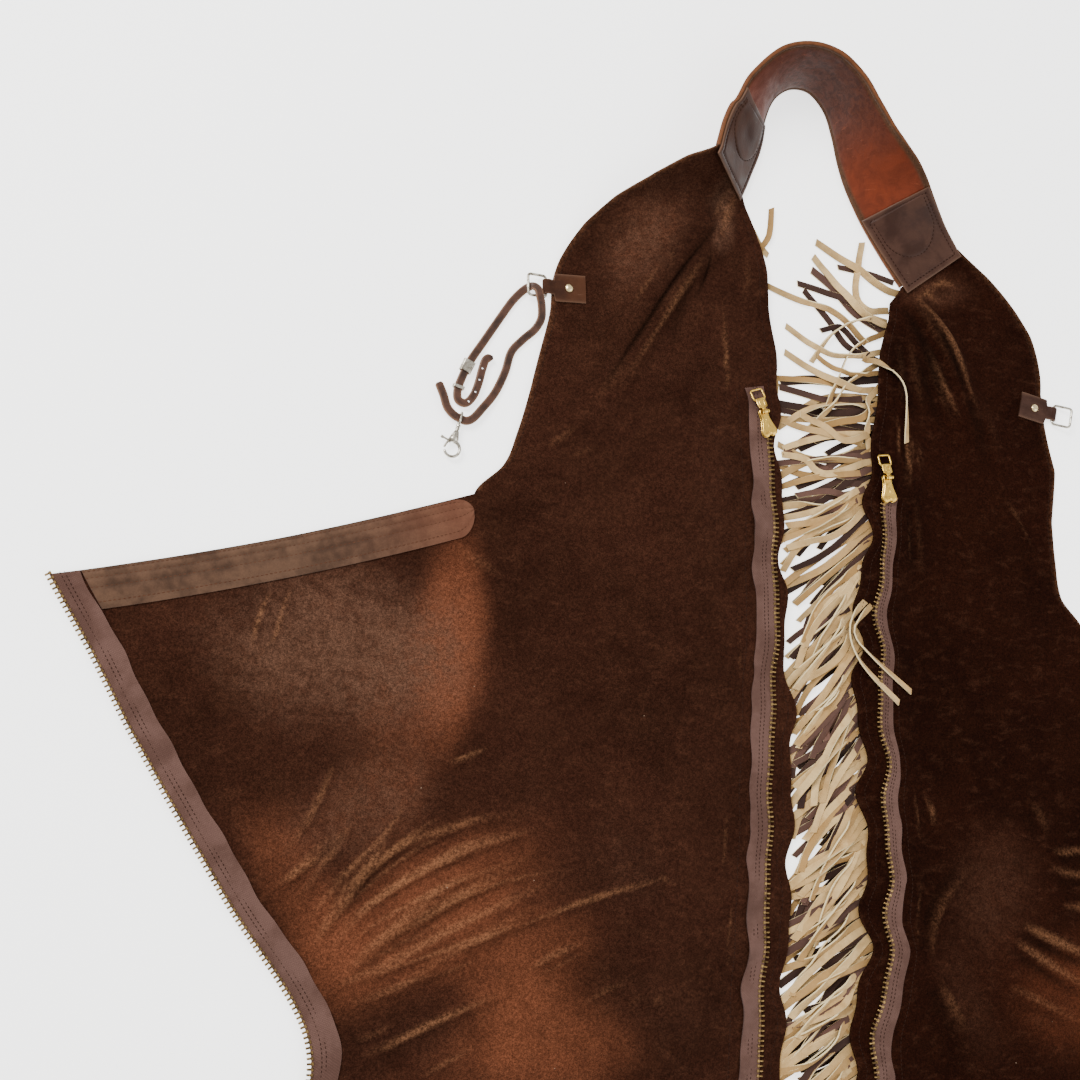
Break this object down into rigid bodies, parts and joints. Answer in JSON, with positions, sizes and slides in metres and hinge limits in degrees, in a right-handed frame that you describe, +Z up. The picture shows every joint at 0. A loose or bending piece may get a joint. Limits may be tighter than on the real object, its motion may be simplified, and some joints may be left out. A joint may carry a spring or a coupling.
{
  "type": "leather chaps",
  "caption": "Zip-leg suede chaps laid out flat and open, with a back belt, side fringe, leg zips and a strap with a swivel snap.",
  "frame": {"origin": "middle of the laid-out garment's box, on the surface that it lies on", "axes": "+Z up, +Y towards the back belt, hems towards -Y, the leg with the strap on the -X side"},
  "size_m": [1.0644, 1.3212, 0.0611],
  "materials": {
    "suede": "napped flesh side, worn brown in places",
    "facing": "smooth band with rows of stitching",
    "zip_tape": "woven zip tape",
    "belt_leather": "smooth rust brown, rubbed edges",
    "patch_leather": "smooth dark brown with grain",
    "fringe_leather": "cut split leather strips, cream and brown",
    "tab_leather": "worn smooth leather",
    "strap_leather": "round-edged narrow strap",
    "brass": "polished",
    "nickel": "polished, a little dull"
  },
  "bodies": {
    "garment": {"back_zip_left": "zip_tape", "back_zip_right": "zip_tape", "belt": "belt_leather", "belt_patch_left": "patch_leather", "belt_patch_right": "patch_leather", "buckle": "nickel", "fringe_left": "fringe_leather", "fringe_right": "fringe_leather", "front_tab_left": "tab_leather", "front_tab_right": "tab_leather", "keeper": "nickel", "leg_panel_left": "suede", "leg_panel_right": "suede", "rivet_left": "brass", "rivet_right": "brass", "side_zip_left": "zip_tape", "side_zip_right": "zip_tape", "snap_eye": "nickel", "strap": "strap_leather", "tab_ring_left": "nickel", "tab_ring_right": "nickel", "thigh_facing_left": "facing", "thigh_facing_right": "facing", "zip_slider_left": "brass", "zip_slider_right": "brass"},
    "pull_left": {"zip_pull_left": "brass"},
    "pull_right": {"zip_pull_right": "brass"},
    "snap": {"snap_hook": "nickel"},
    "gate": {"snap_gate": "nickel"}
  },
  "joints": [
    {"name": "pull_left_hinge", "type": "hinge", "parent": "garment", "child": "pull_left", "pos_m": [-0.02228, 0.38251, 0.0127], "axis": [0.9563, 0.2924, 0], "range_deg": [0, 185]},
    {"name": "pull_right_hinge", "type": "hinge", "parent": "garment", "child": "pull_right", "pos_m": [0.07972, 0.33551, 0.0127], "axis": [0.9962, 0.0872, 0], "range_deg": [0, 185]},
    {"name": "snap_swivel", "type": "hinge", "parent": "garment", "child": "snap", "pos_m": [-0.25678, 0.36771, 0.0041], "axis": [-0.2756, -0.9613, 0], "continuous": true},
    {"name": "gate_press", "type": "hinge", "parent": "snap", "child": "gate", "pos_m": [-0.26528, 0.35184, 0.0041], "axis": [0, 0, 1], "range_deg": [0, 28], "stiffness_Nm_per_rad": 0.002}
  ]
}
